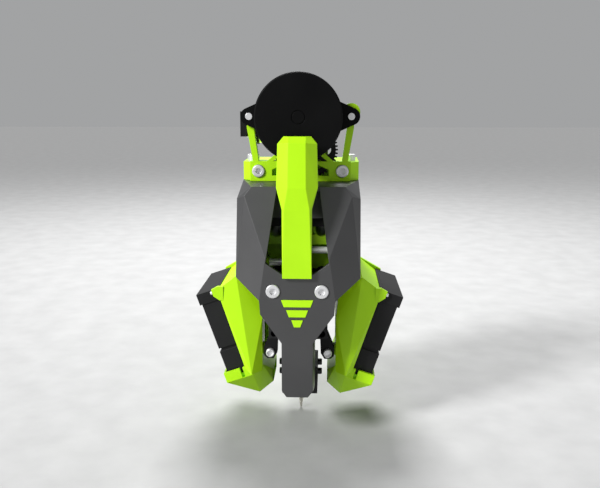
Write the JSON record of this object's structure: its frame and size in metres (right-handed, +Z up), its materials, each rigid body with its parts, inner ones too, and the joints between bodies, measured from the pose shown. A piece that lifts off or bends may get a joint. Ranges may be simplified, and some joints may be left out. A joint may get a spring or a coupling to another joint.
{
  "type": "hotend assembly",
  "caption": "Direct-drive hotend assembly for a 3D printer: pancake motor and geared extruder over a faceted shell with hotend, nose fan and side blowers.",
  "frame": {"origin": "centre of the four carriage bolts on the flat rear face", "axes": "+X to the viewer's right, +Y to the back toward the carriage, +Z up; the nozzle points along -Z"},
  "size_m": [0.0904, 0.071, 0.1564],
  "materials": {
    "grey_shell": "smooth dark grey moulded plastic, satin gloss",
    "lime_plastic": "bright lime moulded plastic, smooth satin gloss",
    "black_plastic": "black moulded plastic, slightly rough",
    "black_metal": "black coated motor case, low sheen",
    "fan_plastic": "dark grey fan plastic, fine moulded grain",
    "steel": "bright zinc-plated steel",
    "hard_steel": "machined hardened steel",
    "aluminium": "turned aluminium",
    "brass": "nickel-plated brass",
    "iron": "laminated iron and copper winding",
    "ptfe": "translucent white PTFE"
  },
  "bodies": {
    "frame": {"front_shell": "grey_shell", "centre_spine": "lime_plastic", "badge_inlay": "lime_plastic", "nose_screws": "steel", "carriage_core": "lime_plastic", "window_baffle": "grey_shell", "belt_clamp_plate": "black_plastic", "belt_tension_rods": "steel", "ptfe_tube": "ptfe", "extruder_base": "lime_plastic", "extruder_front_plate": "lime_plastic", "plate_screws": "steel", "base_screws": "steel", "drive_bearings": "hard_steel", "idler_hinge_pin": "hard_steel", "tension_stud": "steel", "tension_spring": "steel", "inlet_fitting": "black_plastic", "motor_can": "black_metal", "motor_flange": "black_metal", "motor_stator": "iron", "motor_bearings": "hard_steel", "motor_screws": "steel", "heatsink": "aluminium", "heat_break": "hard_steel", "heater_block": "aluminium", "heater_cartridge": "steel", "thermistor": "steel", "block_side_screws": "steel", "nozzle": "brass", "clamp_front": "black_plastic", "clamp_rear": "black_plastic", "clamp_screws": "steel", "heatsink_duct": "black_plastic", "hotend_fan_frame": "fan_plastic", "duct_right": "lime_plastic", "duct_left": "lime_plastic", "blower_case_right": "fan_plastic", "blower_case_left": "fan_plastic", "blower_cover_right": "fan_plastic", "blower_cover_left": "fan_plastic", "blower_screws": "steel", "ear_screws": "steel", "duct_screws": "steel"},
    "rotor": {"motor_rotor": "hard_steel", "pinion_gear": "brass"},
    "drive": {"reduction_gear": "black_plastic", "drive_shaft": "hard_steel", "drive_hob": "hard_steel"},
    "lever": {"idler_arm": "black_plastic", "idler_pin": "hard_steel"},
    "roller": {"idler_roller": "hard_steel"},
    "cup": {"spring_cup": "steel"},
    "knob": {"tension_knob": "black_plastic"},
    "right_blower_rotor": {"blower_wheel_right": "fan_plastic"},
    "left_blower_rotor": {"blower_wheel_left": "fan_plastic"},
    "fan_rotor": {"hotend_fan_wheel": "fan_plastic"}
  },
  "joints": [
    {"name": "drive_turn", "type": "hinge", "parent": "frame", "child": "drive", "pos_m": [0.004, -0.027, 0.04354], "axis": [0, 1, 0], "continuous": true},
    {"name": "motor_turn", "type": "hinge", "parent": "frame", "child": "rotor", "pos_m": [0, -0.045, 0.058], "axis": [0, 1, 0], "continuous": true},
    {"name": "lever_swing", "type": "hinge", "parent": "frame", "child": "lever", "pos_m": [-0.008, -0.027, 0.0344], "axis": [0, -1, 0], "range_deg": [0, 12], "stiffness_Nm_per_rad": 0.1, "springref_deg": -20.05, "deforming": ["tension_spring"]},
    {"name": "roller_turn", "type": "hinge", "parent": "lever", "child": "roller", "pos_m": [-0.004, -0.027, 0.04354], "axis": [0, 1, 0], "continuous": true},
    {"name": "knob_turn", "type": "hinge", "parent": "cup", "child": "knob", "pos_m": [-0.022, -0.0175, 0.0495], "axis": [1, 0, 0], "range_deg": [0, 1080]},
    {"name": "cup_slide", "type": "slide", "parent": "frame", "child": "cup", "axis": [1, 0, 0], "range_m": [0, 0.0016], "deforming": ["tension_spring"]},
    {"name": "right_blower_turn", "type": "hinge", "parent": "frame", "child": "right_blower_rotor", "pos_m": [0.03453, -0.029, -0.03387], "axis": [0.9455, 0, -0.3256], "continuous": true},
    {"name": "left_blower_turn", "type": "hinge", "parent": "frame", "child": "left_blower_rotor", "pos_m": [-0.03453, -0.029, -0.03387], "axis": [-0.9455, 0, -0.3256], "continuous": true},
    {"name": "fan_turn", "type": "hinge", "parent": "frame", "child": "fan_rotor", "pos_m": [0, -0.055, -0.0223], "axis": [0, 1, 0], "continuous": true}
  ],
  "couplings": [
    {"joint": "motor_turn", "follows": "drive_turn", "ratio": -4},
    {"joint": "cup_slide", "follows": "knob_turn", "m_per_rad": 0.000079577},
    {"joint": "roller_turn", "follows": "drive_turn", "ratio": -1}
  ]
}
